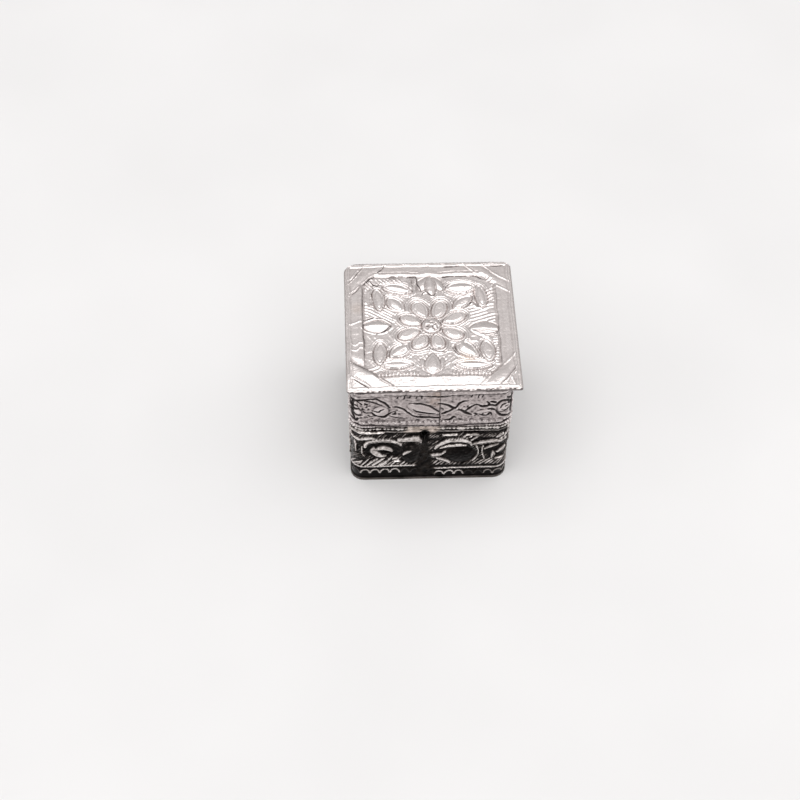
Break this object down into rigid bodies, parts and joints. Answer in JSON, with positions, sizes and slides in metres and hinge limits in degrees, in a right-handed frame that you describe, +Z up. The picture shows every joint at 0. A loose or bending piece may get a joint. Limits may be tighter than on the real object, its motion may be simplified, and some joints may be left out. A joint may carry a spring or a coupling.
{
  "type": "kumkum box",
  "caption": "Small square embossed metal box with a lift-off lid on a plain inner collar, for holding powder.",
  "frame": {"origin": "middle of the foot of the whole box's bounds, under the middle of the lid's plate", "axes": "+Z up, the way the lid lifts; -Y is the front, with both seams; +X is the side where the lid's plate overhangs most"},
  "size_m": [0.0254, 0.0254, 0.0225],
  "materials": {
    "lid_plate_silver": "embossed silver sheet, bright, with faint patina in the hollows",
    "lid_skirt_silver": "embossed silver strip, half bright, dark in the lines",
    "body_wall_silver": "embossed silver strip, darkened, bright on the ridges",
    "base_silver": "plain silver sheet, rubbed",
    "collar_silver": "plain silver band, burnished by the lid",
    "solder": "silver solder, dull and slightly yellow"
  },
  "bodies": {
    "box": {"body_wall": "body_wall_silver", "base_plate": "base_silver", "inner_collar": "collar_silver", "body_seam_solder": "solder", "collar_seam_solder": "solder", "base_solder": "solder", "collar_solder": "solder"},
    "lid": {"lid_top_plate": "lid_plate_silver", "lid_skirt": "lid_skirt_silver", "lid_seam_solder": "solder", "lid_plate_solder": "solder"}
  },
  "joints": [
    {"name": "lid_lift", "type": "slide", "parent": "box", "child": "lid", "axis": [0, 0, 1], "range_m": [0, 0.025]}
  ]
}
